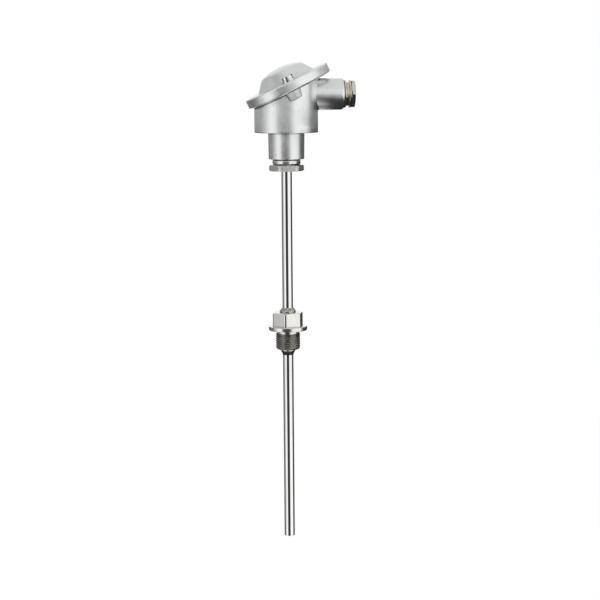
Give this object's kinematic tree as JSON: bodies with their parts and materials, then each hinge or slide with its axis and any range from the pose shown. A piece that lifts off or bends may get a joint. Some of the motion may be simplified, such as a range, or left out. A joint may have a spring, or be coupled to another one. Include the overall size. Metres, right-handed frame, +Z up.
{
  "type": "resistance thermometer probe with terminal head",
  "caption": "Screw-in resistance thermometer: slanted-cap terminal head on a neck tube, threaded process fitting with hexagon, closed protection tube, spring-loaded insert.",
  "frame": {"origin": "centre of the sealing face under the process fitting's collar, on the probe's axis", "axes": "+Z up the probe's axis towards the head, +X out of the cable entry, -Y towards the front cover screw"},
  "size_m": [0.091, 0.0746, 0.4057],
  "materials": {
    "cast_aluminium": "fine blasted casting",
    "stainless": "turned",
    "polished_stainless": "bright drawn",
    "plated_steel": "zinc plated",
    "spring_steel": "drawn wire",
    "nickel_brass": "thin nickel plating",
    "brass": "turned",
    "black_rubber": "matt",
    "red_fibre": "pressed fibre",
    "ceramic": "unglazed steatite",
    "oxide_powder": "packed powder",
    "resin": "cast resin",
    "white_insulation": "extruded"
  },
  "bodies": {
    "stem": {"process_fitting": "stainless", "protection_tube": "polished_stainless", "tip_plug": "polished_stainless", "tube_collar": "stainless"},
    "head": {"head_housing": "cast_aluminium", "head_cover": "cast_aluminium", "cover_gasket": "black_rubber", "cover_screw_front": "plated_steel", "cover_screw_rear": "plated_steel", "cover_washer_front": "plated_steel", "cover_washer_rear": "plated_steel", "neck_screw": "stainless", "neck_gasket": "red_fibre", "gland_body": "nickel_brass", "gland_gasket": "black_rubber", "gland_seal": "black_rubber", "earth_screw": "brass", "earth_washer": "brass", "fixing_screw_front": "plated_steel", "fixing_screw_rear": "plated_steel", "fixing_spring_front": "spring_steel", "fixing_spring_rear": "spring_steel"},
    "gland_slip": {"gland_slip_ring": "nickel_brass"},
    "gland_nut": {"gland_screw": "nickel_brass"},
    "insert": {"insert_plate": "stainless", "insert_ferrule": "nickel_brass", "insert_sheath": "stainless", "insulation_core": "oxide_powder", "sensing_element": "ceramic", "sheath_seal": "resin", "terminal_block": "ceramic", "terminal_1": "brass", "terminal_2": "brass", "terminal_3": "brass", "terminal_4": "brass", "terminal_screw_1": "plated_steel", "terminal_screw_2": "plated_steel", "terminal_screw_3": "plated_steel", "terminal_screw_4": "plated_steel", "terminal_screw_5": "plated_steel", "terminal_screw_6": "plated_steel", "terminal_screw_7": "plated_steel", "terminal_screw_8": "plated_steel", "lead_wire_1": "white_insulation", "lead_wire_2": "white_insulation", "lead_wire_3": "white_insulation", "lead_wire_4": "white_insulation"}
  },
  "joints": [
    {"name": "head_swivel", "type": "hinge", "parent": "stem", "child": "head", "pos_m": [0, 0, 0.15], "axis": [0, 0, 1], "continuous": true},
    {"name": "insert_travel", "type": "slide", "parent": "head", "child": "insert", "axis": [0, 0, 1], "range_m": [0, 0.005], "stiffness_N_per_m": 2400, "springref_m": -0.005, "deforming": ["fixing_spring_front", "fixing_spring_rear"]},
    {"name": "gland_advance", "type": "slide", "parent": "head", "child": "gland_slip", "axis": [1, 0, 0], "range_m": [0, 0.004]},
    {"name": "gland_turn", "type": "hinge", "parent": "gland_slip", "child": "gland_nut", "pos_m": [0.0502, 0, 0.199], "axis": [1, 0, 0], "range_deg": [0, 960]}
  ],
  "couplings": [
    {"joint": "gland_turn", "follows": "gland_advance", "rad_per_m": 4188.8}
  ]
}
